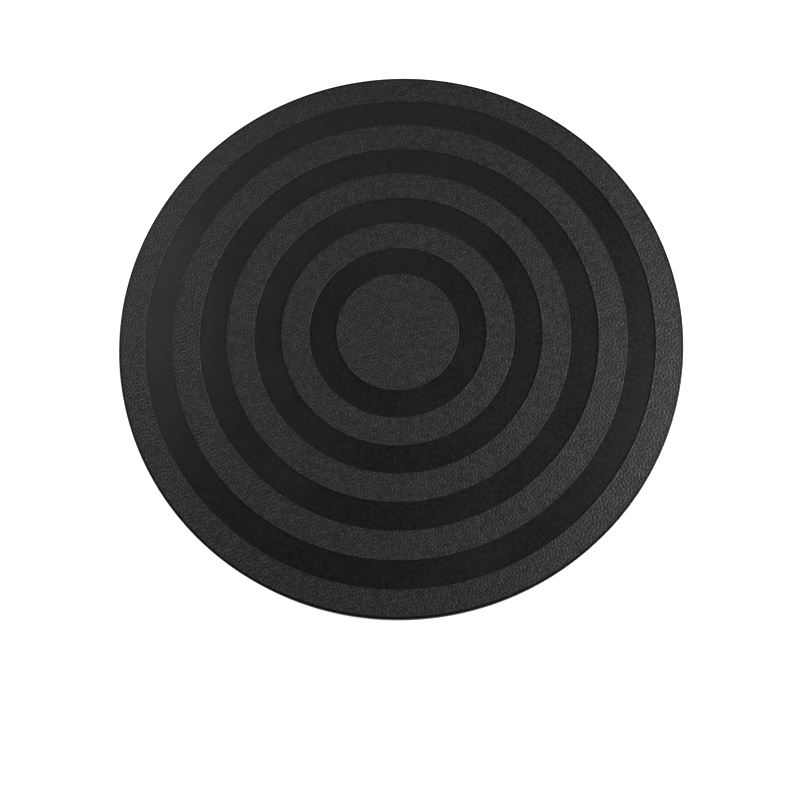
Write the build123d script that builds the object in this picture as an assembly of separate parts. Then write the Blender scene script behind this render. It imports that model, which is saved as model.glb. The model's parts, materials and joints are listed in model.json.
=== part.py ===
from build123d import *
import math
import os

# A 200 mm moulded plastic banding wheel. The round plate turns on a ring of
# steel balls over a smaller ribbed base. A boss under the plate runs in the
# base's hub, and one screw with a washer holds the two together.
# Millimetres, +Z up, the spin axis is Z, and z = 0 is the table.

# ---------------------------------------------------------------- driving sizes
plate_radius = 100.0
plate_over_race = 4.5       # plastic above the plate's race groove
deck_thickness = 3.0
patch_radius = 21.6         # the round grained patch in the middle of the top face
band_count = 8              # ring-shaped bands from the patch to the rim
band_recess = 0.3           # the smooth bands lie this far below the grained ones
band_slope = 0.1            # draft on the wall of each recess
rim_height = 6.0
rim_wall = 2.2
rim_draft = 0.15            # the rim is this much wider at its lower edge
rim_round = 0.6
rim_foot_round = 0.4
plate_rib_count = 24
plate_rib_width = 1.6
plate_rib_clearance = 2.0   # from the base's top to the ribs at the race ring
plate_rib_lift = 0.6        # the ribs end this far above the rim's lower edge
plate_hoop_radius = 76.0
plate_spoke_count = 8       # ribs between the boss and the race ring

base_radius = 68.0
base_height = 11.2
base_draft = 1.0
base_round = 1.4
base_foot_round = 0.5
base_wall = 2.2
base_deck = 2.4
base_rib_count = 10
base_rib_width = 1.8
base_rib_setback = 1.6      # the ribs end this far above the base's lower edge
base_hoop_radius = 29.0

ball_count = 16
ball_radius = 3.0
ball_circle = 48.0
ball_gap = 0.1              # between a ball and each race
groove_ease = 0.3           # the races are this much rounder than the balls
land_gap = 1.7              # from the balls' middle plane to each race's flat land
cage_half_width = 4.8
cage_clearance = 0.3        # above and below the cage
cage_side_gap = 1.7         # inside and outside the cage
pocket_clearance = 0.1

journal_radius = 7.0
journal_clearance = 0.05
journal_chamfer = 0.4
hub_wall = 4.45
hub_setback = 3.9           # from the base's lower edge up to the hub's end
collar_width = 3.0          # the step above the journal
collar_clearance = 0.5
end_play = 0.15

washer_overlap = 3.0        # the washer is this much wider than the journal
washer_thickness = 1.2
screw_radius = 1.95
thread_depth = 0.5
thread_pitch = 1.4
thread_turns = 6
screw_tip = 2.2
screw_clearance = 0.1
screw_end_clearance = 0.5
head_radius = 4.0
head_height = 2.3
head_round = 0.9
recess_span = 4.4           # tip to tip of the cross recess
recess_width = 1.0
recess_depth = 1.5

foot_count = 5
foot_inset = 10.0           # from the base's lower edge to a foot's centre
foot_radius = 5.6
foot_stand = 1.5            # rubber below the base
foot_seat_depth = 1.6
foot_clearance = 0.1
foot_round = 0.5
foot_cup_wall = 2.4
stem_radius = 2.0
stem_length = 4.2
stem_taper = 0.8
stem_hole_spare = 0.6       # empty depth past the stem's end

JOIN = 0.5                  # how far joined shapes run into each other

# ---------------------------------------------------------------- levels and radii
base_bottom = foot_stand
base_top = base_bottom + base_height
base_deck_bottom = base_top - base_deck
base_rib_bottom = base_bottom + base_rib_setback
ball_level = base_top + land_gap
ball_reach = ball_radius + ball_gap
plate_land = ball_level + land_gap
plate_top = ball_level + ball_reach + plate_over_race
deck_bottom = plate_top - deck_thickness
rim_bottom = plate_top - rim_height
hub_bottom = base_bottom + hub_setback
journal_bottom = hub_bottom - end_play
washer_bottom = journal_bottom - washer_thickness
head_bottom = washer_bottom - head_height
thread_end = journal_bottom + thread_turns * thread_pitch
screw_end = thread_end + screw_tip
seat_top = base_bottom + foot_seat_depth
stem_top = seat_top + stem_length

band_width = (plate_radius - patch_radius) / band_count
rim_top_radius = plate_radius - rim_draft
rim_inside = plate_radius - rim_wall
base_top_radius = base_radius - base_draft
race_inner = ball_circle - cage_half_width - cage_side_gap
race_outer = ball_circle + cage_half_width + cage_side_gap
cage_half_height = land_gap - cage_clearance
groove_radius = ball_radius + groove_ease
hub_bore = journal_radius + journal_clearance
hub_radius = hub_bore + hub_wall
collar_radius = journal_radius + collar_width
washer_radius = journal_radius + washer_overlap
screw_bore = screw_radius + screw_clearance
foot_circle = base_radius - foot_inset


# ---------------------------------------------------------------- shapes used below
def turned(*outline):
    """A solid of revolution about Z, from a closed outline of (radius, height) points."""
    return revolve(Plane.XZ * make_face(Polyline(*outline, close=True)), Axis.Z)


def ring(inner, outer, low, high):
    """A plain ring about Z."""
    return turned((inner, low), (outer, low), (outer, high), (inner, high))


def disc(radius, low, high):
    """A plain disc about Z."""
    return Pos(0, 0, (low + high) / 2) * Cylinder(radius, high - low)


def rib(width, *outline):
    """An upright rib along X, from its side outline of (radius, height) points."""
    side = Plane.XZ * make_face(Polyline(*outline, close=True))
    return extrude(side, width / 2, both=True)


def around(shape, count):
    """Copies of a shape, evenly turned about Z."""
    return [Rot(0, 0, 360.0 * i / count) * shape for i in range(count)]


def edge_circle(shape, radius, height):
    """The round edge of a shape at one radius and height."""
    circles = shape.edges().filter_by(GeomType.CIRCLE)
    return [
        edge for edge in circles
        if abs(edge.radius - radius) < 1e-4 and abs(edge.arc_center.Z - height) < 1e-4
    ]


def race_groove(side):
    """The cutter for one race: side is 1 for the plate's race and -1 for the base's."""
    middle = ball_level + side * (ball_reach - groove_radius)
    return Pos(0, 0, middle) * Torus(ball_circle, groove_radius)


# ---------------------------------------------------------------- the plate
def band_recess_cutter(index):
    """The cutter that lowers one ring-shaped band of the top face."""
    inner = patch_radius + index * band_width
    outer = inner + band_width
    floor = plate_top - band_recess
    return turned(
        (inner + band_slope, floor),
        (outer - band_slope, floor),
        (outer, plate_top),
        (outer, plate_top + JOIN),
        (inner, plate_top + JOIN),
        (inner, plate_top),
    )


def make_plate():
    shell = turned(
        (0, deck_bottom),
        (rim_inside, deck_bottom),
        (rim_inside, rim_bottom),
        (plate_radius, rim_bottom),
        (rim_top_radius, plate_top),
        (0, plate_top),
    )
    shell = fillet(edge_circle(shell, rim_top_radius, plate_top), rim_round)
    shell = fillet(edge_circle(shell, plate_radius, rim_bottom), rim_foot_round)
    inside = deck_bottom + JOIN
    race = ring(race_inner, race_outer, plate_land, inside)
    collar = disc(collar_radius, base_top + collar_clearance, inside)
    journal = disc(journal_radius, journal_bottom, inside)
    journal = chamfer(edge_circle(journal, journal_radius, journal_bottom), journal_chamfer)
    hoop_inner = plate_hoop_radius - plate_rib_width / 2
    hoop = ring(hoop_inner, hoop_inner + plate_rib_width, rim_bottom + plate_rib_lift, inside)
    rib_bottom = base_top + plate_rib_clearance
    outer_rib = rib(
        plate_rib_width,
        (race_outer - JOIN, inside),
        (race_outer - JOIN, rib_bottom),
        (rim_inside + JOIN, rim_bottom + plate_rib_lift),
        (rim_inside + JOIN, inside),
    )
    spoke = rib(
        plate_rib_width,
        (collar_radius - JOIN, inside),
        (collar_radius - JOIN, rib_bottom),
        (race_inner + JOIN, rib_bottom),
        (race_inner + JOIN, inside),
    )
    ribs = around(outer_rib, plate_rib_count) + around(spoke, plate_spoke_count)
    body = shell.fuse(race, collar, journal, hoop, *ribs)
    screw_hole = disc(screw_bore, journal_bottom - JOIN, screw_end + screw_end_clearance)
    smooth_bands = [band_recess_cutter(i) for i in range(0, band_count, 2)]
    return body.cut(race_groove(1), screw_hole, *smooth_bands).solid()


# ---------------------------------------------------------------- the base
def foot_places():
    """Where the feet stand, as (x, y)."""
    angles = [math.radians(360.0 * i / foot_count) for i in range(foot_count)]
    return [(foot_circle * math.cos(a), foot_circle * math.sin(a)) for a in angles]


def at_feet(shape):
    """Copies of a shape about Z, one at each foot."""
    return [Pos(x, y, 0) * shape for x, y in foot_places()]


def make_base():
    shell = turned(
        (hub_bore, hub_bottom),
        (hub_radius, hub_bottom),
        (hub_radius, base_deck_bottom),
        (base_top_radius - base_wall, base_deck_bottom),
        (base_radius - base_wall, base_bottom),
        (base_radius, base_bottom),
        (base_top_radius, base_top),
        (hub_bore, base_top),
    )
    shell = fillet(edge_circle(shell, base_top_radius, base_top), base_round)
    shell = fillet(edge_circle(shell, base_radius, base_bottom), base_foot_round)
    inside = base_deck_bottom + JOIN
    race_back_bottom = ball_level - ball_reach - base_deck
    race_back = ring(race_inner + base_wall, race_outer - base_wall, race_back_bottom, inside)
    hoop_inner = base_hoop_radius - base_rib_width / 2
    hoop = ring(hoop_inner, hoop_inner + base_rib_width, base_rib_bottom, inside)
    rib_end = base_top_radius - base_wall + JOIN
    spoke = rib(
        base_rib_width,
        (hub_radius - JOIN, inside),
        (hub_radius - JOIN, hub_bottom),
        (base_hoop_radius, base_rib_bottom),
        (rib_end, base_rib_bottom),
        (rib_end, inside),
    )
    envelope = turned(
        (0, base_bottom),
        (base_radius, base_bottom),
        (base_top_radius, base_top),
        (0, base_top),
    )
    cups = [cup & envelope for cup in at_feet(disc(foot_radius + foot_cup_wall, base_bottom, inside))]
    body = shell.fuse(race_back, hoop, *around(spoke, base_rib_count), *cups)
    seats = at_feet(disc(foot_radius + foot_clearance, base_bottom - JOIN, seat_top))
    stem_hole = disc(stem_radius + foot_clearance, seat_top - JOIN, stem_top + stem_hole_spare)
    return body.cut(race_groove(-1), *seats, *at_feet(stem_hole)).solid()


# ---------------------------------------------------------------- the bearing
def make_cage():
    body = ring(
        ball_circle - cage_half_width,
        ball_circle + cage_half_width,
        ball_level - cage_half_height,
        ball_level + cage_half_height,
    )
    pocket = Cylinder(ball_radius + pocket_clearance, 4 * cage_half_height)
    return body.cut(*around(Pos(ball_circle, 0, ball_level) * pocket, ball_count)).solid()


def make_balls():
    return around(Pos(ball_circle, 0, ball_level) * Sphere(ball_radius), ball_count)


# ---------------------------------------------------------------- screw, washer, feet
def make_washer():
    return ring(screw_bore, washer_radius, washer_bottom, journal_bottom)


def make_screw():
    """A pan-head screw for plastic. Its thread is a row of ridges round the core."""
    core_radius = screw_radius - thread_depth
    outline = [(0, washer_bottom), (screw_radius, washer_bottom), (screw_radius, journal_bottom)]
    for i in range(thread_turns):
        low = journal_bottom + i * thread_pitch
        outline.append((core_radius, low + 0.3 * thread_pitch))
        outline.append((core_radius, low + 0.7 * thread_pitch))
        outline.append((screw_radius, low + thread_pitch))
    outline.append((core_radius, thread_end + 0.3 * thread_pitch))
    outline.append((0, screw_end))
    head = disc(head_radius, head_bottom, washer_bottom)
    head = fillet(edge_circle(head, head_radius, head_bottom), head_round)
    blade = Pos(0, 0, head_bottom) * Box(recess_span, recess_width, 2 * recess_depth)
    cross = blade + Rot(0, 0, 90) * blade
    point = turned(
        (0, head_bottom),
        (recess_span / 2, head_bottom),
        (recess_width / 2, head_bottom + recess_depth),
        (0, head_bottom + recess_depth),
    )
    return (turned(*outline) + head - (cross & point)).solid()


def make_foot():
    """One rubber foot about Z: a pad with a stem that pushes up into the base."""
    pad = disc(foot_radius, 0, seat_top)
    pad = fillet(edge_circle(pad, foot_radius, 0), foot_round)
    stem = disc(stem_radius, seat_top - JOIN, stem_top)
    stem = chamfer(edge_circle(stem, stem_radius, stem_top), stem_taper)
    return (pad + stem).solid()


# ---------------------------------------------------------------- files
def main():
    parts = {
        "turntable_plate": make_plate(),
        "base_disc": make_base(),
        "ball_cage": make_cage(),
        "retaining_washer": make_washer(),
        "centre_screw": make_screw(),
    }
    for i, ball in enumerate(make_balls(), start=1):
        parts[f"bearing_ball_{i:02d}"] = ball
    for i, foot in enumerate(at_feet(make_foot()), start=1):
        parts[f"rubber_foot_{i}"] = foot
    os.makedirs("parts", exist_ok=True)
    for name, shape in parts.items():
        export_step(shape, f"parts/{name}.step")


main()
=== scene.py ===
# %% [markdown]
# # A banding wheel in black moulded plastic
#
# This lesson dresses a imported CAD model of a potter's banding wheel: a 200 mm plate
# with rings on its top face, which turns on steel balls over a smaller base. The CAD
# model fixes every size and every moving body, so Blender adds surfaces and finishes
# and never moves a part. Lengths are in metres, +Z is up, and the spin axis is Z.

import json
import math

import bpy
import numpy as np
from mathutils import Matrix, Vector


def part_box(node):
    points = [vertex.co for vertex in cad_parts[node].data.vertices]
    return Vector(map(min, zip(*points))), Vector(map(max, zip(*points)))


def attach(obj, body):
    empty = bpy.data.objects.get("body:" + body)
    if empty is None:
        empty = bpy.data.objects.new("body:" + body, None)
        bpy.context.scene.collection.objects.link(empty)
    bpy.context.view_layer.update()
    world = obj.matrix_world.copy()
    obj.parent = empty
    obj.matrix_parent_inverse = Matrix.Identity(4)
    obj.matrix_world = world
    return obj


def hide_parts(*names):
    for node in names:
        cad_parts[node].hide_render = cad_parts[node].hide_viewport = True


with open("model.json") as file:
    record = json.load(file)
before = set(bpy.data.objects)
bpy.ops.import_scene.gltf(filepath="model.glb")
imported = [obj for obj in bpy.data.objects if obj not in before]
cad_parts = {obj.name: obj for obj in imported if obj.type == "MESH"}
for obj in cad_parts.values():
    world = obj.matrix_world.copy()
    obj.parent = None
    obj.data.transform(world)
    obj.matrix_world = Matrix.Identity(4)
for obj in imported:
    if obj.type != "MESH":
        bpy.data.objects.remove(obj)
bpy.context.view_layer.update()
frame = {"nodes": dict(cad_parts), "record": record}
MM = 0.001

# %% [markdown]
# ## Reading sizes off the frame
#
# The plate's rings could be typed in again here, but then they could drift away from
# the CAD. A turned part has all its vertices on a few circles, so the radii of the
# vertices at one height are the circles at that height, and the rings are read from
# them.

# %% Circles of the turned plate
SAME_LEVEL = 0.002 * MM
SAME_RADIUS = 0.02 * MM
plate_points = np.array([v.co for v in frame["nodes"]["turntable_plate"].data.vertices])
plate_radii = np.hypot(plate_points[:, 0], plate_points[:, 1])


def circles_at(height):
    """The radii of the plate's circles at one height, to a hundredth of a millimetre."""
    near = np.abs(plate_points[:, 2] - height) < SAME_LEVEL
    return np.unique(np.round(plate_radii[near] / MM, 2)) * MM


def heights_at(radius):
    """The heights of the plate's corners at one radius, to a hundredth of a millimetre."""
    near = np.abs(plate_radii - radius) < SAME_RADIUS
    return np.unique(np.round(plate_points[near, 2] / MM, 2)) * MM


plate_top = plate_points[:, 2].max()
plate_radius = plate_radii.max()
print("plate radius and top in mm:", round(plate_radius / MM, 2), round(plate_top / MM, 2))

# %% [markdown]
# The circles on the top face are the edges of the bands, apart from those of the rim's
# rounding. Inside them the plate has two levels near its top: the crests of the grained
# bands are the highest, and the smooth bands are the next one down.

# %% Edges of the bands
RIM_ZONE = 1.5 * MM
top_circles = circles_at(plate_top)
band_edges = top_circles[top_circles < plate_radius - RIM_ZONE]
inside_points = plate_points[plate_radii < band_edges[-1]]
band_floor = np.unique(np.round(inside_points[:, 2], 6))[-2]
band_slope = circles_at(band_floor)[0] - band_edges[0]
print("edges of the bands in mm:", np.round(band_edges / MM, 1))
print("step between bands in mm:", round((plate_top - band_floor) / MM, 3))

# %% [markdown]
# ## From numbers to a mesh
#
# Every new surface below is worked out as whole numpy arrays. One helper hands them
# to Blender with foreach_set, which is far quicker than adding faces one at a time.
# A turned surface knows its exact normals, so they can be given too. That keeps wide
# flat faces flat in the highlights beside small rounded edges.


# %% Mesh builder
def mesh_piece(name, points, faces, normals=None):
    """A mesh object from (n, 3) points and a list of arrays of faces, one array per face size."""
    mesh = bpy.data.meshes.new(name)
    mesh.vertices.add(len(points))
    mesh.vertices.foreach_set("co", np.asarray(points, np.float32).ravel())
    corners = np.concatenate([f.ravel() for f in faces]).astype(np.int32)
    sizes = np.concatenate([np.full(len(f), f.shape[1]) for f in faces])
    starts = np.concatenate([[0], np.cumsum(sizes)[:-1]]).astype(np.int32)
    mesh.loops.add(len(corners))
    mesh.loops.foreach_set("vertex_index", corners)
    mesh.polygons.add(len(sizes))
    mesh.polygons.foreach_set("loop_start", starts)
    mesh.polygons.foreach_set("use_smooth", np.ones(len(sizes), bool))
    mesh.update(calc_edges=True)
    mesh.validate()
    if normals is not None:
        mesh.normals_split_custom_set_from_vertices(np.asarray(normals, np.float32))
    piece = bpy.data.objects.new(name, mesh)
    bpy.context.scene.collection.objects.link(piece)
    print(name, "has", len(mesh.polygons), "faces")
    return piece


def grid_faces(rows, columns, wrap_rows=False, wrap_columns=True):
    """The quads of a rows x columns grid of points, numbered row by row."""
    r = np.arange(rows if wrap_rows else rows - 1)
    c = np.arange(columns if wrap_columns else columns - 1)
    r, c = np.meshgrid(r, c, indexing="ij")
    r2, c2 = (r + 1) % rows, (c + 1) % columns
    quads = [r * columns + c, r * columns + c2, r2 * columns + c2, r2 * columns + c]
    return np.stack(quads, -1).reshape(-1, 4)


# %% [markdown]
# ## Profiles with rounded corners
#
# Moulded plastic has no sharp edges: the tool that cuts the mould has a radius, and
# the plastic doesn't flow into a perfect corner anyway. A profile is therefore given
# as corners with a radius each. Every corner becomes an arc that meets its two sides
# smoothly.


# %% Rounded profile
ARC_STEPS = 5
LONGEST_SIDE = 4.0 * MM


def rounded_profile(corners, longest=LONGEST_SIDE):
    """The (radius, height) points and outward normals of a closed or axis-to-axis outline.

    Each corner is (radius, height, rounding). Where the sides turn by the angle t, the arc of
    radius q starts q * tan(t / 2) before the corner. The outline runs anticlockwise, so the
    outward normal is the direction of travel turned a quarter to the right. longest is the
    longest step along a side, or one such step for the side after each corner.
    """
    longest = np.broadcast_to(longest, len(corners))
    spots = np.array([c[:2] for c in corners], float)
    sides = np.roll(spots, -1, 0) - spots
    ways = sides / np.linalg.norm(sides, axis=1)[:, None]
    points, normals, reach = [], [], []
    for i, (radius, height, rounding) in enumerate(corners):
        before, after = ways[i - 1], ways[i]
        turn = math.atan2(before[0] * after[1] - before[1] * after[0], before @ after)
        on_axis = radius == 0
        side = after if on_axis and i == 0 else before
        start = np.array([side[1], -side[0]])
        steps = 1 if on_axis or rounding == 0 else ARC_STEPS
        if steps == 1:
            middle = start if on_axis else start + [after[1], -after[0]]
            points.append(np.array([[radius, height]]))
            normals.append((middle / np.linalg.norm(middle))[None])
        else:
            angle = turn * np.linspace(0, 1, steps)[:, None]
            cos, sin = np.cos(angle), np.sin(angle)
            normal = start * cos + np.array([-start[1], start[0]]) * sin
            first = spots[i] - before * rounding * math.tan(abs(turn) / 2)
            centre = first - start * rounding * math.copysign(1, turn)
            points.append(centre + normal * rounding * math.copysign(1, turn))
            normals.append(normal)
        reach.append(np.full(steps, longest[i]))
    return fill_sides(*(np.concatenate(part) for part in (points, normals, reach)))


print("points on a rounded corner:", ARC_STEPS)

# %% [markdown]
# A long side would give long slivers of faces, so it gets points in between. A side that
# lies on the axis needs none, because nothing is made there. The points on a side take
# the side's own normal, and the points of the outline keep theirs.


# %% Points along the long sides
WHOLE_STEP = 1e-6
TINY_LENGTH = 1e-12


def fill_sides(points, normals, reach):
    """The same outline with evenly spaced points added along its long sides.

    A side of length l takes ceil(l / reach) steps, where a hair over a whole number of
    steps still counts as that number.
    """
    ahead = np.roll(points, -1, 0)
    on_axis = (points[:, 0] == 0) & (ahead[:, 0] == 0)
    lengths = np.where(on_axis, 0, np.linalg.norm(ahead - points, axis=1))
    counts = np.maximum(np.ceil(lengths / reach - WHOLE_STEP).astype(int), 1)
    owner = np.repeat(np.arange(len(points)), counts)
    first = np.cumsum(counts) - counts
    share = ((np.arange(len(owner)) - first[owner]) / counts[owner])[:, None]
    filled = points[owner] * (1 - share) + ahead[owner] * share
    way = ahead[owner] - points[owner]
    side_normal = np.stack([way[:, 1], -way[:, 0]], -1)
    side_normal /= np.maximum(np.linalg.norm(side_normal, axis=1)[:, None], TINY_LENGTH)
    return filled, np.where(share > 0, side_normal, normals[owner])


square = [(10, 0, 1), (20, 0, 1), (20, 10, 1), (10, 10, 1)]
print("points on a rounded square:", len(rounded_profile(square, longest=4)[0]))

# %% [markdown]
# Blender's Screw modifier could turn the outline, but it knows nothing of the exact
# normals. Here the outline's points and its normals are carried round by the same
# formula. An outline that starts and ends on the axis is closed with one fan of
# triangles at each end.


# %% Turned piece
def carried_round(profile, segments):
    """A profile carried round Z: (r, z) at the angle a becomes (r cos a, r sin a, z)."""
    angle = np.linspace(0, 2 * np.pi, segments, endpoint=False)
    wide = profile[:, None, :1] * np.stack([np.cos(angle), np.sin(angle)], -1)
    high = np.broadcast_to(profile[:, None, 1:], wide.shape[:2] + (1,))
    return np.concatenate([wide, high], -1).reshape(-1, 3)


def turned_piece(name, corners, segments, longest=LONGEST_SIDE):
    """A closed surface of revolution, with a pole at each end of an outline that meets the axis."""
    profile, profile_normals = rounded_profile(corners, longest)
    rings = profile[:, 0] > 0
    rows = rings.sum()
    points = carried_round(profile[rings], segments)
    normals = carried_round(profile_normals[rings], segments)
    faces = [grid_faces(rows, segments, wrap_rows=rings.all())]
    if not rings.all():
        axis = np.array([0, 0, 1])
        points = np.vstack([points, profile[~rings][:, 1:] * axis])
        normals = np.vstack([normals, profile_normals[~rings][:, 1:] * axis])
        step = np.arange(segments)
        ahead = (step + 1) % segments
        pole = np.full(segments, rows * segments)
        last_row = (rows - 1) * segments
        faces.append(np.stack([pole, ahead, step], -1))
        faces.append(np.stack([pole + 1, last_row + step, last_row + ahead], -1))
    return mesh_piece(name, points, faces, normals)


print("(2, 1) carried round in four steps:")
print(carried_round(np.array([[2, 1]]), 4).round(3))

# %% [markdown]
# ## The plate's shell
#
# The plate is one moulding. Its deck, rim, ball race and boss are all turned shapes, so
# one profile carried round the axis makes them. The deck's top is left at the level of
# the smooth bands, because the grained bands are laid on it in a later step. A narrow
# lip at the rim marks where the grain ends. A few sizes can't be told apart by their
# circles, such as the rim's wall, the journal and the collar above it, so these are
# written out as the CAD model has them. The lip and the two small roundings of all other
# corners, FILLET and EDGE, are new here.

# %% Sizes of the shell
RIM_WALL = 2.2 * MM
RIM_DRAFT = 0.15 * MM
RIM_ROUND = 0.6 * MM
LIP_WIDTH = 0.3 * MM
JOURNAL_RADIUS = 7.0 * MM
JOURNAL_CHAMFER = 0.4 * MM
COLLAR_RADIUS = 10.0 * MM
FILLET = 0.5 * MM
EDGE = 0.15 * MM
SHELL_SEGMENTS = 480

journal_bottom = plate_points[:, 2].min()
bore_radius = circles_at(journal_bottom)[0]
bore_top = heights_at(bore_radius)[-1]
collar_bottom = heights_at(JOURNAL_RADIUS)[-1]
rim_inside = plate_radius - RIM_WALL
rim_bottom, deck_bottom = heights_at(rim_inside)[[0, -1]]
lip_inside = plate_radius - RIM_DRAFT - RIM_ROUND - LIP_WIDTH
print("rim", round((plate_top - rim_bottom) / MM, 2), "mm tall")

# %% [markdown]
# The balls run in a groove whose section is an arc of a circle a little larger than a
# ball. Its middle is set so that the arc's top clears the ball by the bearing's play, and
# its ends lie where that circle meets the race's land.

# %% Groove of the ball race
RACE_HALF_WIDTH = 6.5 * MM
GROOVE_RADIUS = 3.3 * MM
BALL_GAP = 0.1 * MM
GROOVE_STEPS = 13
ball_low, ball_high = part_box("bearing_ball_01")
ball_circle = (ball_low.x + ball_high.x) / 2
ball_top = (ball_low.z + ball_high.z) / 2 + (ball_high.z - ball_low.z) / 2
race_inner, race_outer = ball_circle - RACE_HALF_WIDTH, ball_circle + RACE_HALF_WIDTH
race_land = heights_at(race_inner)[0]
groove_middle = ball_top + BALL_GAP - GROOVE_RADIUS
groove_half = math.sqrt(GROOVE_RADIUS**2 - (race_land - groove_middle) ** 2)
groove_angle = math.asin(groove_half / GROOVE_RADIUS) * np.linspace(-1, 1, GROOVE_STEPS)
groove = np.stack([
    ball_circle + GROOVE_RADIUS * np.sin(groove_angle),
    groove_middle + GROOVE_RADIUS * np.cos(groove_angle),
    0 * groove_angle,
], -1)
print("groove", round(2 * groove_half / MM, 2), "mm wide at the land")

# %% [markdown]
# The outline runs from the screw's bore at the axis, down round the journal, out along
# the underside to the rim and back over the top.

# %% Shell of the plate
shell_corners = [
    (0, bore_top, 0),
    (bore_radius, bore_top, EDGE),
    (bore_radius, journal_bottom, EDGE),
    (JOURNAL_RADIUS - JOURNAL_CHAMFER, journal_bottom, EDGE),
    (JOURNAL_RADIUS, journal_bottom + JOURNAL_CHAMFER, EDGE),
    (JOURNAL_RADIUS, collar_bottom, EDGE),
    (COLLAR_RADIUS, collar_bottom, EDGE),
    (COLLAR_RADIUS, deck_bottom, FILLET),
    (race_inner, deck_bottom, FILLET),
    (race_inner, race_land, EDGE),
    *groove,
    (race_outer, race_land, EDGE),
    (race_outer, deck_bottom, FILLET),
    (rim_inside, deck_bottom, FILLET),
    (rim_inside, rim_bottom, EDGE),
    (plate_radius, rim_bottom, 2 * EDGE),
    (plate_radius - RIM_DRAFT, plate_top, RIM_ROUND),
    (lip_inside, plate_top, EDGE / 2),
    (lip_inside, band_floor, EDGE / 2),
    (0, band_floor, 0),
]
plate_shell = turned_piece("plate_shell", shell_corners, SHELL_SEGMENTS)

# %% [markdown]
# ## Ribs under the plate
#
# Ribs keep a thin moulding flat. A real rib has a rounded crest and a small fillet at
# its root, so that it leaves the mould and doesn't crack. A rib's section is drawn first:
# a quarter round on each side of the crest, and a quarter hollow on each side of the
# root, which ends just inside the deck, so that no gap shows.


# %% Section of a rib
RIB_WIDTH = 1.6 * MM
RIB_ROUND = 0.45 * MM
ROOT_DEPTH = 0.02 * MM
BURIED = 0.4 * MM


def rib_section():
    """The section's points and outward normals, as (sideways, upwards), and each point's share.

    The crest's corners are quarter circles of the radius RIB_ROUND, and the root's hollows are
    quarter circles of the radius FILLET. The share says where upwards is measured from: 0 is
    the crest and 1 the deck.
    """
    quarter = np.linspace(0, np.pi / 2, ARC_STEPS)
    cos, sin = np.cos(quarter), np.sin(quarter)
    half = RIB_WIDTH / 2
    crest = np.stack([half - RIB_ROUND + RIB_ROUND * sin, RIB_ROUND - RIB_ROUND * cos], -1)
    root = np.stack([half + FILLET - FILLET * cos, ROOT_DEPTH - FILLET + FILLET * sin], -1)
    spots = np.concatenate([crest, root, [[half + FILLET, BURIED]]])
    normals = np.concatenate([np.stack([sin, -cos], -1), np.stack([cos, -sin], -1), [[1, 0]]])
    share = np.repeat([0, 1], [ARC_STEPS, ARC_STEPS + 1])
    mirror = [-1, 1]
    spots = np.concatenate([spots, spots[::-1] * mirror])
    normals = np.concatenate([normals, normals[::-1] * mirror])
    return spots, normals, np.concatenate([share, share[::-1]])


print("points in a rib's section:", len(rib_section()[0]))

# %% [markdown]
# All the ribs are copies of one, turned about the axis in a single array operation. An
# Array modifier could do it too, but the copies here can take their normals with them.


# %% Turned copies
def turned_copies(points, count):
    """Evenly turned copies of an array of points or directions, one copy after the other.

    A turn by the angle a takes (x, y) to (x cos a - y sin a, x sin a + y cos a).
    """
    angle = np.arange(count) * 2 * np.pi / count
    cos, sin, zero, unit = np.cos(angle), np.sin(angle), 0 * angle, 0 * angle + 1
    turns = np.stack([cos, -sin, zero, sin, cos, zero, zero, zero, unit], -1).reshape(-1, 3, 3)
    return np.einsum("nij,pj->npi", turns, points).reshape(-1, 3)


print("(2, 0, 1) copied four times round:")
print(turned_copies(np.array([[2, 0, 1]]), 4).round(3))

# %% [markdown]
# A rib is its section carried outwards. The section's lower half follows the crest, which
# rises towards the rim, and its upper half stays at the deck. The two end sections close
# the rib, each as one face with many corners.


# %% Ribs in one piece
RIB_STATIONS = 14


def ribs_piece(name, count, start, end, crest_start, crest_end):
    """Ribs from the start to the end radius, with a straight crest between two heights.

    With t from 0 to 1 along a rib, the radius is start + (end - start) * t and the crest's
    height is crest_start + (crest_end - crest_start) * t.
    """
    spots, normals, share = rib_section()
    columns = len(spots)
    run = np.linspace(0, 1, RIB_STATIONS)[:, None]
    along = np.broadcast_to(start + (end - start) * run, (RIB_STATIONS, columns))
    across = np.broadcast_to(spots[:, 0], along.shape)
    crest = crest_start + (crest_end - crest_start) * run
    level = crest * (1 - share) + deck_bottom * share + spots[:, 1]
    one = np.stack([along, across, level], -1).reshape(-1, 3)
    outwards = np.tile(np.column_stack([np.zeros(columns), normals]), (RIB_STATIONS, 1))
    sides = grid_faces(RIB_STATIONS, columns)
    near_end = np.arange(columns)[::-1][None]
    far_end = (len(one) - columns + np.arange(columns))[None]
    shift = (np.arange(count) * len(one))[:, None, None]
    faces = [(shift + part).reshape(-1, part.shape[1]) for part in (sides, near_end, far_end)]
    return mesh_piece(name, turned_copies(one, count), faces, turned_copies(outwards, count))


print("points in one rib:", RIB_STATIONS * len(rib_section()[0]))

# %% [markdown]
# The long ribs run from the race to the rim, and the short spokes from the collar to the
# race. A hoop ties the long ribs together. It is a turned piece with the same crest and
# root as a rib. Where two of them meet, they run a little into each other, as one
# moulding does.

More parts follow.
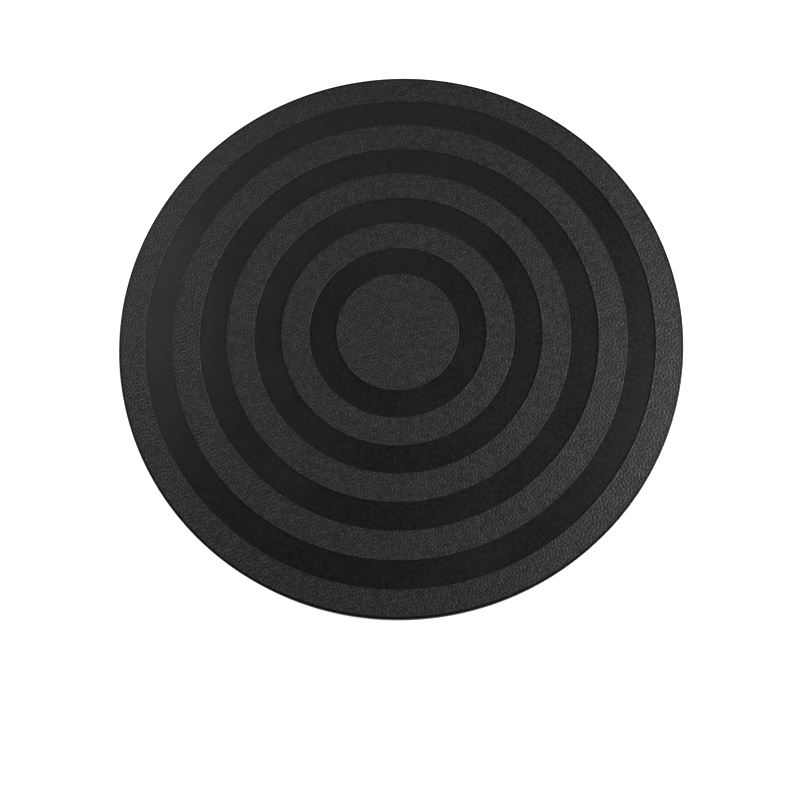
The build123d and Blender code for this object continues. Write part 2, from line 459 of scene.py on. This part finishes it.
# %% Ribs, spokes and hoop
RIB_COUNT = 24
SPOKE_COUNT = 8
HOOP_RADIUS = 76.0 * MM
JOIN = 0.5 * MM
rib_crest = heights_at(COLLAR_RADIUS)[1]
rib_lift = heights_at(HOOP_RADIUS - RIB_WIDTH / 2)[0]
outer_ribs = ribs_piece(
    "plate_ribs", RIB_COUNT, race_outer - JOIN, rim_inside + JOIN, rib_crest, rib_lift
)
spokes = ribs_piece(
    "plate_spokes", SPOKE_COUNT, COLLAR_RADIUS - JOIN, race_inner + JOIN, rib_crest, rib_crest
)
hoop_in, hoop_out = HOOP_RADIUS - RIB_WIDTH / 2, HOOP_RADIUS + RIB_WIDTH / 2
root = deck_bottom + ROOT_DEPTH
hoop = turned_piece("plate_hoop", [
    (hoop_in, rib_lift, RIB_ROUND),
    (hoop_out, rib_lift, RIB_ROUND),
    (hoop_out, root, FILLET),
    (hoop_out + 2 * FILLET, root, 0),
    (hoop_out + 2 * FILLET, root + BURIED, 0),
    (hoop_in - 2 * FILLET, root + BURIED, 0),
    (hoop_in - 2 * FILLET, root, 0),
    (hoop_in, root, FILLET),
], SHELL_SEGMENTS)
print("rib crest in mm, at the race and the rim:", np.round([rib_crest / MM, rib_lift / MM], 2))

# %% [markdown]
# ## Moulded grain
#
# The light bands are grained: the mould is etched, which leaves the plastic covered in
# soft pebbles about half a millimetre across. Bump in a material would only pretend, so
# the pebbles are real relief here. The height at a point is a sum of cosine waves that
# run in all directions with lengths near the pebbles' size, which has no seams and no
# repeats. A squashing curve then flattens the crests, as an etched mould does.

# %% Waves of the grain
GRAIN_WAVES = 64
SHORTEST_WAVE = 0.7 * MM
LONGEST_WAVE = 1.5 * MM
GRAIN_SQUASH = 3.2

draw = np.random.default_rng(7)
wave_way = draw.uniform(0, 2 * np.pi, GRAIN_WAVES)
wave_length = SHORTEST_WAVE * (LONGEST_WAVE / SHORTEST_WAVE) ** draw.uniform(0, 1, GRAIN_WAVES)
wave_shift = draw.uniform(0, 2 * np.pi, GRAIN_WAVES)
wave_vector = 2 * np.pi / wave_length * np.stack([np.cos(wave_way), np.sin(wave_way)])


def grain_share(points):
    """The grain's depth at each point, from 0 on a crest to 1 in a pit.

    The sum w of the cosine waves is squashed to 1 / (1 + exp(GRAIN_SQUASH * w)).
    """
    waves = np.cos(points[:, :2] @ wave_vector + wave_shift).sum(1) * math.sqrt(2 / GRAIN_WAVES)
    return 1 / (1 + np.exp(GRAIN_SQUASH * waves))


print("mean wave length in mm:", round(wave_length.mean() / MM, 2))

# %% [markdown]
# The relief fades out at each band's edge, where the real edge is crisp. The depth before
# fading is also kept on the mesh as an attribute, because the finish is duller in the pits
# and painted shade darkens them by their depth, and a colour that faded as well would draw
# a light line along every edge.


# %% Pressing the grain in
GRAIN_STEP = 0.27 * MM
GRAIN_DEPTH = 0.14 * MM
EDGE_FADE = 0.3 * MM


def press_grain(points, on_top, inner, outer):
    """Presses the grain into the top points, less and less towards both edges of the band.

    A point goes down by GRAIN_DEPTH * share, times its distance from the nearer edge over
    EDGE_FADE where that is less than 1.
    """
    share = grain_share(points)
    radius = np.hypot(points[:, 0], points[:, 1])
    from_edge = np.minimum(radius - inner, outer - radius) / EDGE_FADE
    points[:, 2] -= GRAIN_DEPTH * share * on_top * np.clip(from_edge, 0, 1)
    return share


def keep_share(piece, share):
    """Stores the share of the grain's depth on the mesh, for the finish to read."""
    depth = piece.data.attributes.new("pit_depth", "FLOAT", "POINT")
    depth.data.foreach_set("value", share.astype(np.float32))
    print(piece.name, "grain, mean and spread:", round(share.mean(), 3), round(share.std(), 3))
    return piece


print("steps of the grid in a mean wave:", round(wave_length.mean() / GRAIN_STEP, 1))

# %% [markdown]
# A grained ring is a slab that stands on the deck. Its outline is carried round the axis
# like the shell's, in steps as fine as the grain needs, and only its top is pressed down.


# %% Grained rings
SLAB_BURIED = 0.1 * MM
SLAB_EDGE = 0.1 * MM
LIP_GAP = 0.02 * MM
UPRIGHT = 0.999


def grained_ring(name, inner, outer, inner_slope, outer_slope):
    """A ring-shaped slab from the deck up to the plate's top, with grain on its top.

    Each wall leans outwards by its slope over the slab's height, and goes on in the same
    line to the foot, which is buried in the deck.
    """
    foot = band_floor - SLAB_BURIED
    spread = 1 + SLAB_BURIED / (plate_top - band_floor)
    corners = [
        (inner - inner_slope * spread, foot, 0),
        (outer + outer_slope * spread, foot, 0),
        (outer, plate_top, SLAB_EDGE),
        (inner, plate_top, SLAB_EDGE),
    ]
    profile, normals = rounded_profile(corners, [outer, outer, GRAIN_STEP, outer])
    segments = int(2 * np.pi * outer / GRAIN_STEP)
    points = carried_round(profile, segments)
    on_top = np.repeat(normals[:, 1] > UPRIGHT, segments)
    share = press_grain(points, on_top, inner + SLAB_EDGE, outer - SLAB_EDGE)
    faces = grid_faces(len(profile), segments, wrap_rows=True)
    return keep_share(mesh_piece(name, points, [faces]), share)


grained = []
for i, (inner, outer) in enumerate(zip(band_edges[1::2], band_edges[2::2]), start=1):
    grained.append(grained_ring(f"grained_ring_{i}", inner, outer, band_slope, band_slope))
last_name = f"grained_ring_{len(grained) + 1}"
grained.append(grained_ring(last_name, band_edges[-1], lip_inside - LIP_GAP, band_slope, 0))

# %% [markdown]
# The patch in the middle would pinch at the axis if it were turned: thousands of thin
# triangles would meet at one point. A square grid bent into a disc stays even. A point
# (a, b) of the square goes to the distance max(|a|, |b|) from the axis, and its angle is
# the eighth turn times b / a, measured from the nearest side.


# %% Grained patch
SAME_TOP = 1e-9


def square_to_disc(a, b):
    """The direction of each point of a square from the axis, as the parts of a unit vector."""
    steep = np.abs(b) > np.abs(a)
    big, small = np.where(steep, b, a), np.where(steep, a, b)
    eighth = np.pi / 4 * small / np.where(big == 0, 1, big)
    main, side = np.sign(big) * np.cos(eighth), np.sign(big) * np.sin(eighth)
    return np.where(steep, side, main), np.where(steep, main, side)


def grained_patch(name, edge):
    """A round slab on an even grid, whose outermost lines are its rounded edge and its wall."""
    foot = band_floor - SLAB_BURIED
    spread = 1 + SLAB_BURIED / (plate_top - band_floor)
    corners = [
        (0, foot, 0),
        (edge + band_slope * spread, foot, 0),
        (edge, plate_top, SLAB_EDGE),
        (0, plate_top, 0),
    ]
    profile, _ = rounded_profile(corners, [edge, edge, GRAIN_STEP, edge])
    walk = profile[1:][::-1]
    travelled = np.concatenate([[0], np.cumsum(np.linalg.norm(np.diff(walk, axis=0), axis=1))])
    line = np.concatenate([-travelled[:0:-1], travelled])
    a, b = np.meshgrid(line, line, indexing="ij")
    far = np.maximum(np.abs(a), np.abs(b))
    across, along = square_to_disc(a, b)
    radius = np.interp(far, travelled, walk[:, 0])
    height = np.interp(far, travelled, walk[:, 1])
    points = np.stack([radius * across, radius * along, height], -1).reshape(-1, 3)
    on_top = points[:, 2] > plate_top - SAME_TOP
    share = press_grain(points, on_top, -edge, edge - SLAB_EDGE)
    n = len(line)
    index = np.arange(n * n).reshape(n, n)
    under = np.concatenate([index[0, :-1], index[:-1, -1], index[-1, :0:-1], index[:0:-1, 0]])
    top = grid_faces(n, n, wrap_columns=False)[:, ::-1]
    return keep_share(mesh_piece(name, points, [top, under[None]]), share)


grained.append(grained_patch("grained_patch", band_edges[0]))

# %% [markdown]
# ## Riding on the CAD bodies
#
# The new surfaces stand for the CAD plate, so they ride on the body that turns, and the
# CAD plate itself is hidden. MuJoCo keeps it for collision. As a check, sample points of
# the new shell are compared with the CAD plate's surface. Where the shell runs on inside
# a rib, the nearest CAD surface is the rib's side. So the largest distance should be half
# a rib's width, and no more.

# %% Ride and replace
CHECKED = 400
cad_plate = frame["nodes"]["turntable_plate"]
bpy.context.view_layer.update()
vertices = plate_shell.data.vertices
sample = [vertices[i].co for i in range(0, len(vertices), len(vertices) // CHECKED)]
gaps = [(cad_plate.closest_point_on_mesh(spot)[1] - spot).length for spot in sample]
print("shell to CAD plate, largest distance in mm:", round(max(gaps) / MM, 3))
print("half a rib's width in mm:", round(RIB_WIDTH / 2 / MM, 3))

for piece in (plate_shell, outer_ribs, spokes, hoop, *grained):
    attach(piece, "plate")
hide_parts("turntable_plate")

# %% [markdown]
# ## Finishes
#
# Each finish is a small node tree on Object coordinates. All pieces keep their place in
# their mesh, so a pattern runs on from one piece to the next and stays put when the
# plate turns. A noise texture takes its scale in waves per metre, and one wave is a light
# and a dark feature, so the size of a feature is turned into a scale first. Noise also
# keeps mostly to the middle of its range, so it is spread before it is used.


# %% Noise and colour
WAVES_PER_FEATURE = 0.5
NOISE_LOW = 0.3
NOISE_HIGH = 0.7


def finish(name):
    """A new material, with its node tree and its Principled shader."""
    material = bpy.data.materials.new(name)
    material.use_nodes = True
    return material, material.node_tree, material.node_tree.nodes["Principled BSDF"]


def noise(tree, feature, detail=2.0):
    """A noise texture whose features are about that long, in metres."""
    place = tree.nodes.new("ShaderNodeTexCoord")
    texture = tree.nodes.new("ShaderNodeTexNoise")
    texture.inputs["Scale"].default_value = WAVES_PER_FEATURE / feature
    texture.inputs["Detail"].default_value = detail
    tree.links.new(place.outputs["Object"], texture.inputs["Vector"])
    return texture.outputs["Fac"]


def ranged(tree, value, low, high):
    """Noise, which keeps mostly between NOISE_LOW and NOISE_HIGH, spread over low to high."""
    spread = tree.nodes.new("ShaderNodeMapRange")
    spread.inputs["From Min"].default_value = NOISE_LOW
    spread.inputs["From Max"].default_value = NOISE_HIGH
    spread.inputs["To Min"].default_value = low
    spread.inputs["To Max"].default_value = high
    tree.links.new(value, spread.inputs["Value"])
    return spread.outputs["Result"]


def mixed_colour(tree, value, dark, light):
    """A colour between dark and light, by a value."""
    blend = tree.nodes.new("ShaderNodeMix")
    blend.data_type = "RGBA"
    blend.inputs["A"].default_value = (*dark, 1)
    blend.inputs["B"].default_value = (*light, 1)
    tree.links.new(ranged(tree, value, 0, 1), blend.inputs["Factor"])
    return blend.outputs["Result"]


print("noise scale for a feature of 1 mm:", WAVES_PER_FEATURE / MM)

# %% [markdown]
# Relief finer than the meshes can hold is bump. A bump node can stand on another one, so
# two textures of different kinds add up.


# %% Bump
def bump(tree, shader, height, depth, below=None):
    """Bump of that depth in metres, on top of another bump if one is given."""
    node = tree.nodes.new("ShaderNodeBump")
    node.inputs["Distance"].default_value = depth
    tree.links.new(height, node.inputs["Height"])
    if below is not None:
        tree.links.new(below, node.inputs["Normal"])
    tree.links.new(node.outputs["Normal"], shader.inputs["Normal"])
    return node.outputs["Normal"]


print("left to bump: relief finer than", round(GRAIN_STEP / MM, 2), "mm")

# %% [markdown]
# A mould insert is turned on a lathe, and its tool leaves faint rings. Noise in one
# dimension, read along the distance from the spin axis, draws such rings at any radius.


# %% Turning lines
LINE_WIDTH = 0.35 * MM
LINE_DETAIL = 1.0


def radius_lines(tree, feature):
    """Faint lines round the spin axis: noise of the distance from the axis alone."""
    place = tree.nodes.new("ShaderNodeTexCoord")
    flat = tree.nodes.new("ShaderNodeVectorMath")
    flat.operation = "MULTIPLY"
    flat.inputs[1].default_value = (1, 1, 0)
    length = tree.nodes.new("ShaderNodeVectorMath")
    length.operation = "LENGTH"
    texture = tree.nodes.new("ShaderNodeTexNoise")
    texture.noise_dimensions = "1D"
    texture.inputs["Scale"].default_value = WAVES_PER_FEATURE / feature
    texture.inputs["Detail"].default_value = LINE_DETAIL
    tree.links.new(place.outputs["Object"], flat.inputs[0])
    tree.links.new(flat.outputs["Vector"], length.inputs[0])
    tree.links.new(length.outputs["Value"], texture.inputs["W"])
    return texture.outputs["Fac"]


print("turning lines from the axis to the rim:", round(plate_radius / LINE_WIDTH))

# %% [markdown]
# ## The plate's three surfaces
#
# The plate is one black plastic with three surfaces. Each is its own material, because
# one shader whose every value is mixed by a mask would be harder to read. The grained
# bands scatter light, so they look lighter than the rest. Their crests are speckled, and
# their pits are duller by the depth that the mesh keeps, and darkened by it with painted
# shade.


# %% Finish of the grained bands
def grained_plastic():
    """Light speckled crests, duller in the pits and darkened there by painted shade."""
    material, tree, shader = finish("grained_black_plastic")
    speckle = noise(tree, 0.7 * MM, detail=1)
    crest = mixed_colour(tree, speckle, (0.007, 0.007, 0.0078), (0.045, 0.045, 0.0475))
    pits = tree.nodes.new("ShaderNodeAttribute")
    pits.attribute_name = "pit_depth"
    # Painted shade: the crest colour darkens towards near black with the depth of each pit.
    tone = tree.nodes.new("ShaderNodeMix")
    tone.data_type = "RGBA"
    tone.inputs["B"].default_value = (0.0004, 0.0004, 0.0005, 1)
    tree.links.new(pits.outputs["Fac"], tone.inputs["Factor"])
    tree.links.new(crest, tone.inputs["A"])
    tree.links.new(tone.outputs["Result"], shader.inputs["Base Color"])
    rough = tree.nodes.new("ShaderNodeMapRange")
    rough.inputs["To Min"].default_value = 0.5
    rough.inputs["To Max"].default_value = 0.72
    tree.links.new(pits.outputs["Fac"], rough.inputs["Value"])
    tree.links.new(rough.outputs["Result"], shader.inputs["Roughness"])
    bump(tree, shader, noise(tree, 0.28 * MM, detail=3), 0.03 * MM)
    return material


grained_finish = grained_plastic()
print("made", grained_finish.name)

# %% [markdown]
# The smooth bands mirror the dark room above, so they look darker. They carry the faint
# turning lines of the mould insert, a fine mottle and the slight dullness that hands
# leave.


# %% Finish of the smooth bands
def smooth_plastic():
    """A soft sheen with turning lines, a fine mottle and dull patches left by hands."""
    material, tree, shader = finish("smooth_black_plastic")
    mottle = noise(tree, 0.5 * MM)
    tone = mixed_colour(tree, mottle, (0.0028, 0.0024, 0.0030), (0.0120, 0.0116, 0.0122))
    tree.links.new(tone, shader.inputs["Base Color"])
    dull = ranged(tree, noise(tree, 14 * MM, detail=4), 0.33, 0.41)
    tree.links.new(dull, shader.inputs["Roughness"])
    lines = bump(tree, shader, radius_lines(tree, LINE_WIDTH), 0.0012 * MM)
    bump(tree, shader, noise(tree, 0.5 * MM), 0.02 * MM, below=lines)
    return material


smooth_finish = smooth_plastic()
print("made", smooth_finish.name)

# %% [markdown]
# The rim wall is a darker, duller copy of the same plastic with hardly any shine. This is
# painted shade, which keeps the rim dark where it would mirror the bright sweep.


# %% Finish of the rim
def rim_shaded_plastic():
    """An even, dull black with very little shine, darker than the rest: painted shade on the rim.
    """
    material, tree, shader = finish("rim_shaded_black_plastic")
    mottle = noise(tree, 2 * MM)
    # Painted shade: a darker tone and less shine than on the plate's other surfaces.
    tone = mixed_colour(tree, mottle, (0.0042, 0.0042, 0.0045), (0.0062, 0.0062, 0.0066))
    tree.links.new(tone, shader.inputs["Base Color"])
    tree.links.new(ranged(tree, noise(tree, 1.5 * MM), 0.42, 0.54), shader.inputs["Roughness"])
    shader.inputs["Specular IOR Level"].default_value = 0.12
    bump(tree, shader, noise(tree, 0.3 * MM, detail=3), 0.006 * MM)
    return material


rim_shaded_finish = rim_shaded_plastic()
print("made", rim_shaded_finish.name)

# %% [markdown]
# ## The other pieces' finishes
#
# The base is the same plastic from a plainer mould, with an even spark-eroded texture.
# The cage is the same kind of moulding without any pigment, so it is milky. Both change
# only a little in tone and shine from place to place. The finishes are kept by the name
# of the slot they belong to.


# %% Finishes of the base and the cage
def base_plastic():
    """A plain satin black with a fine spark-eroded texture."""
    material, tree, shader = finish("base_black_plastic")
    tone = mixed_colour(tree, noise(tree, 0.6 * MM), (0.008, 0.008, 0.0085), (0.013, 0.013, 0.0135))
    tree.links.new(tone, shader.inputs["Base Color"])
    tree.links.new(ranged(tree, noise(tree, 18 * MM), 0.47, 0.53), shader.inputs["Roughness"])
    bump(tree, shader, noise(tree, 0.4 * MM, detail=3), 0.02 * MM)
    return material


def natural_plastic():
    """Milky plastic with no pigment, slightly cloudy."""
    material, tree, shader = finish("natural_cage_plastic")
    tone = mixed_colour(tree, noise(tree, 6 * MM), (0.60, 0.585, 0.53), (0.68, 0.665, 0.61))
    tree.links.new(tone, shader.inputs["Base Color"])
    tree.links.new(ranged(tree, noise(tree, 1.5 * MM), 0.38, 0.5), shader.inputs["Roughness"])
    bump(tree, shader, noise(tree, 0.8 * MM), 0.004 * MM)
    return material


node_finishes = {"base_plastic": base_plastic(), "cage_plastic": natural_plastic()}
print("finishes so far:", [m.name for m in node_finishes.values()])

# %% [markdown]
# The balls are polished steel. The screw and the washer are zinc-plated, which is duller
# and a little uneven. Both are metals, so their colour tints what they mirror.


# %% Finishes of the metal parts
def polished_steel():
    """Bright steel with the faint haze of a tumbled polish."""
    material, tree, shader = finish("polished_ball_steel")
    tone = mixed_colour(tree, noise(tree, 2 * MM), (0.56, 0.56, 0.57), (0.64, 0.64, 0.65))
    tree.links.new(tone, shader.inputs["Base Color"])
    shader.inputs["Metallic"].default_value = 1.0
    polish = ranged(tree, noise(tree, 0.7 * MM, detail=4), 0.08, 0.16)
    tree.links.new(polish, shader.inputs["Roughness"])
    return material


def zinc_plating():
    """Bluish white plating, a little uneven in tone and shine."""
    material, tree, shader = finish("zinc_plated_steel")
    bloom = noise(tree, 1.6 * MM, detail=3)
    tone = mixed_colour(tree, bloom, (0.52, 0.54, 0.57), (0.66, 0.66, 0.66))
    tree.links.new(tone, shader.inputs["Base Color"])
    shader.inputs["Metallic"].default_value = 1.0
    dull = ranged(tree, noise(tree, 0.5 * MM, detail=3), 0.26, 0.4)
    tree.links.new(dull, shader.inputs["Roughness"])
    bump(tree, shader, noise(tree, 0.25 * MM), 0.004 * MM)
    return material


node_finishes |= {"ball_steel": polished_steel(), "zinc_steel": zinc_plating()}
print("finishes so far:", [m.name for m in node_finishes.values()])

# %% [markdown]
# The feet are soft matt rubber, which takes on a little dust.


# %% Finish of the feet
def foot_rubber():
    """Matt rubber, dusty in places, with a fine grain."""
    material, tree, shader = finish("matt_foot_rubber")
    mottle = noise(tree, 1.5 * MM, detail=4)
    tone = mixed_colour(tree, mottle, (0.016, 0.016, 0.016), (0.027, 0.026, 0.025))
    tree.links.new(tone, shader.inputs["Base Color"])
    tree.links.new(ranged(tree, noise(tree, 0.8 * MM), 0.74, 0.9), shader.inputs["Roughness"])
    bump(tree, shader, noise(tree, 0.35 * MM, detail=3), 0.015 * MM)
    return material


node_finishes |= {"foot_rubber": foot_rubber()}
print("finishes so far:", [m.name for m in node_finishes.values()])

# %% [markdown]
# ## Finishes on the pieces
#
# A material does nothing until a piece has it in a slot. Most pieces take one material.
# The shell takes two: the smooth finish all over and the rim's darker finish, which is
# painted shade, on the faces that lie outside the lip, picked by their distance from the axis.


# %% Finishes on the plate
def paint(piece, material):
    """One material for the whole piece."""
    piece.data.materials.clear()
    piece.data.materials.append(material)


for piece in (plate_shell, outer_ribs, spokes, hoop):
    paint(piece, smooth_finish)
for piece in grained:
    paint(piece, grained_finish)

# The rim's faces take the finish with painted shade.
plate_shell.data.materials.append(rim_shaded_finish)
shell_points = np.array([v.co for v in plate_shell.data.vertices])
first_corners = np.array([face.vertices[0] for face in plate_shell.data.polygons])
on_rim = np.hypot(*shell_points[first_corners, :2].T) > lip_inside + LIP_WIDTH / 2
plate_shell.data.polygons.foreach_set("material_index", on_rim.astype(np.int32))
print("faces with the rim's finish:", int(on_rim.sum()))

# %% [markdown]
# The CAD nodes keep their meshes. Only the material in their slot changes, by the slot's
# name in the record.

# %% Finishes on the CAD nodes
for part in frame["record"]["subparts"]:
    if part["material_slot"] in node_finishes:
        slots = frame["nodes"][part["node"]].material_slots
        slots[0].material = node_finishes[part["material_slot"]]
print("finishes:", sorted(m.name for m in bpy.data.materials if m.users))

# %% [markdown]
# ## Studio
#
# A black object is drawn by what it reflects. The wheel stands on a white sweep, which
# glows a little, so that it stays white right up to the wheel as an overexposed backdrop
# does. The room is as bright as the sweep near the horizon, so the two meet without a
# line, and dim overhead, so the smooth bands reflect the dim ceiling and stay dark.

# %% Floor
FLOOR_SIZE = 6.0
SWEEP_GLOW = 0.86
floor_mesh = bpy.data.meshes.new("floor")
half = FLOOR_SIZE / 2
floor_corners = [(-half, -half, 0), (half, -half, 0), (half, half, 0), (-half, half, 0)]
floor_mesh.from_pydata(floor_corners, [], [(0, 1, 2, 3)])
floor = bpy.data.objects.new("floor", floor_mesh)
bpy.context.scene.collection.objects.link(floor)
sweep, sweep_tree, sweep_shader = finish("white_sweep")
sweep_mottle = noise(sweep_tree, 40 * MM)
sweep_tone = mixed_colour(sweep_tree, sweep_mottle, (0.70, 0.70, 0.70), (0.72, 0.72, 0.72))
sweep_tree.links.new(sweep_tone, sweep_shader.inputs["Base Color"])
sweep_shader.inputs["Roughness"].default_value = 0.9
sweep_shader.inputs["Specular IOR Level"].default_value = 0.1
sweep_shader.inputs["Emission Color"].default_value = (1, 1, 1, 1)
sweep_shader.inputs["Emission Strength"].default_value = SWEEP_GLOW
paint(floor, sweep)
print("floor", FLOOR_SIZE, "m across")

# %% [markdown]
# The room is the world's own shader. Its strength falls with the height of the direction
# one looks in, smoothly from the horizon's value to the ceiling's.

# %% Room
HORIZON_LIGHT = 1.0
CEILING_LIGHT = 0.02
CEILING_STARTS = 0.22
CEILING_FULL = 0.48
room = bpy.data.worlds.new("room")
bpy.context.scene.world = room
room.use_nodes = True
nodes, links = room.node_tree.nodes, room.node_tree.links
direction = nodes.new("ShaderNodeTexCoord")
split = nodes.new("ShaderNodeSeparateXYZ")
fall = nodes.new("ShaderNodeMapRange")
fall.interpolation_type = "SMOOTHSTEP"
fall.inputs["From Min"].default_value = CEILING_STARTS
fall.inputs["From Max"].default_value = CEILING_FULL
fall.inputs["To Min"].default_value = HORIZON_LIGHT
fall.inputs["To Max"].default_value = CEILING_LIGHT
links.new(direction.outputs["Generated"], split.inputs["Vector"])
links.new(split.outputs["Z"], fall.inputs["Value"])
nodes["Background"].inputs["Color"].default_value = (1, 1, 1, 1)
links.new(fall.outputs["Result"], nodes["Background"].inputs["Strength"])
print("room light at the horizon and at the ceiling:", HORIZON_LIGHT, CEILING_LIGHT)

# %% [markdown]
# ## Lights
#
# The grain only shows in light that rakes across it, so the main softbox stands low and
# close on the right. A second one, higher on the left, lays a sheen on the smooth bands
# of that side, and a weak one at the back lifts the far half. They are near, so the
# light falls off over the plate, as it does in a small product studio. None of them is
# seen by the camera itself.

# %% Softboxes
COOL_WHITE = (0.99, 0.98, 1.05)


def softbox(name, azimuth, elevation, distance, size, power):
    """A square area light that faces the plate from a direction in degrees; azimuth 0 is +X."""
    lamp = bpy.data.lights.new(name, "AREA")
    lamp.size = size
    lamp.energy = power
    lamp.color = COOL_WHITE
    box = bpy.data.objects.new(name, lamp)
    a, e = math.radians(azimuth), math.radians(elevation)
    way = Vector((math.cos(e) * math.cos(a), math.cos(e) * math.sin(a), math.sin(e)))
    box.location = way * distance + Vector((0, 0, plate_top))
    box.rotation_euler = way.to_track_quat("Z", "Y").to_euler()
    box.visible_camera = False
    bpy.context.scene.collection.objects.link(box)
    print(name, "at", [round(c, 3) for c in box.location])


softbox("right_softbox", azimuth=-10, elevation=19, distance=0.34, size=0.2, power=1.95)
softbox("left_softbox", azimuth=152, elevation=30, distance=0.42, size=0.28, power=0.95)
softbox("back_softbox", azimuth=88, elevation=50, distance=1.1, size=0.5, power=0.3)

# %% [markdown]
# ## Camera
#
# The camera looks down at the plate from the front, a little turned about its own axis.
# Its place is the distance and elevation from the middle of the plate's top, and it aims
# at a point on the top face. A slight sideways shift of the lens stands for a picture
# that was cropped a little off centre.

# %% Camera
VIEW_DISTANCE = 0.3595
VIEW_ELEVATION = math.radians(72.36)
VIEW_ROLL = math.radians(-11.64)
AIM = Vector((-8.56 * MM, -24.32 * MM, plate_top))
FOCAL_LENGTH = 45.61
SENSOR_WIDTH = 36.0
SIDEWAYS_SHIFT = 0.025
NEAREST_SEEN = 0.01
lens = bpy.data.cameras.new("camera")
lens.sensor_width = SENSOR_WIDTH
lens.lens = FOCAL_LENGTH
lens.shift_x = SIDEWAYS_SHIFT
lens.clip_start = NEAREST_SEEN
camera = bpy.data.objects.new("camera", lens)
spot = Vector((0, -math.cos(VIEW_ELEVATION), math.sin(VIEW_ELEVATION))) * VIEW_DISTANCE
spot.z += plate_top
back = (spot - AIM).normalized()
right = Vector((0, 0, 1)).cross(back).normalized()
up = back.cross(right)
pose = Matrix((right, up, back)).transposed() @ Matrix.Rotation(VIEW_ROLL, 3, "Z")
camera.matrix_world = Matrix.Translation(spot) @ pose.to_4x4()
bpy.context.scene.collection.objects.link(camera)
bpy.context.scene.camera = camera
bpy.context.scene.view_settings.view_transform = "Standard"
print("camera at", [round(c, 4) for c in spot])
